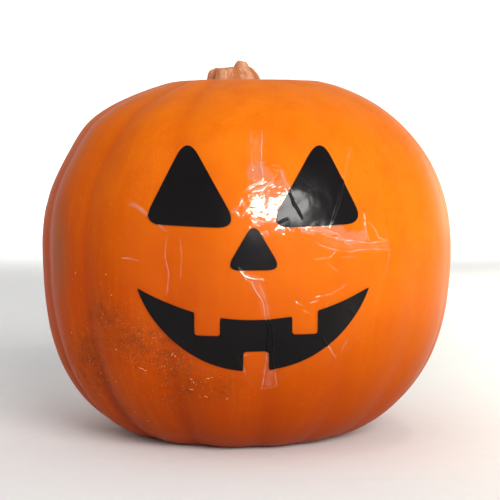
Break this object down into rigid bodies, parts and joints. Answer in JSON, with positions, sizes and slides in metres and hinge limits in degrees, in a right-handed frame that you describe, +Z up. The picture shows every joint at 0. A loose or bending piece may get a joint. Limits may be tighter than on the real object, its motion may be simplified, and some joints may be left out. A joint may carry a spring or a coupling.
{
  "type": "decorated pumpkin",
  "caption": "Whole ribbed orange pumpkin with a dry cut stem and a creased clear film on its front that carries a black lantern face.",
  "frame": {"origin": "on the surface that the pumpkin stands on, under the middle of the whole", "axes": "+Z up along the fruit, the face looks along -Y, +X to the right of someone who looks at the face"},
  "size_m": [0.2774, 0.271, 0.2534],
  "materials": {
    "rind": "waxy smooth orange rind, semi-gloss",
    "stem_cork": "dry corky stem, matt",
    "clear_film": "thin clear glossy plastic film",
    "black_print": "black print under a glossy film"
  },
  "bodies": {
    "root": {"pumpkin": "rind", "stem": "stem_cork", "film": "clear_film", "eye_left": "black_print", "eye_right": "black_print", "nose": "black_print", "mouth": "black_print"}
  },
  "joints": []
}
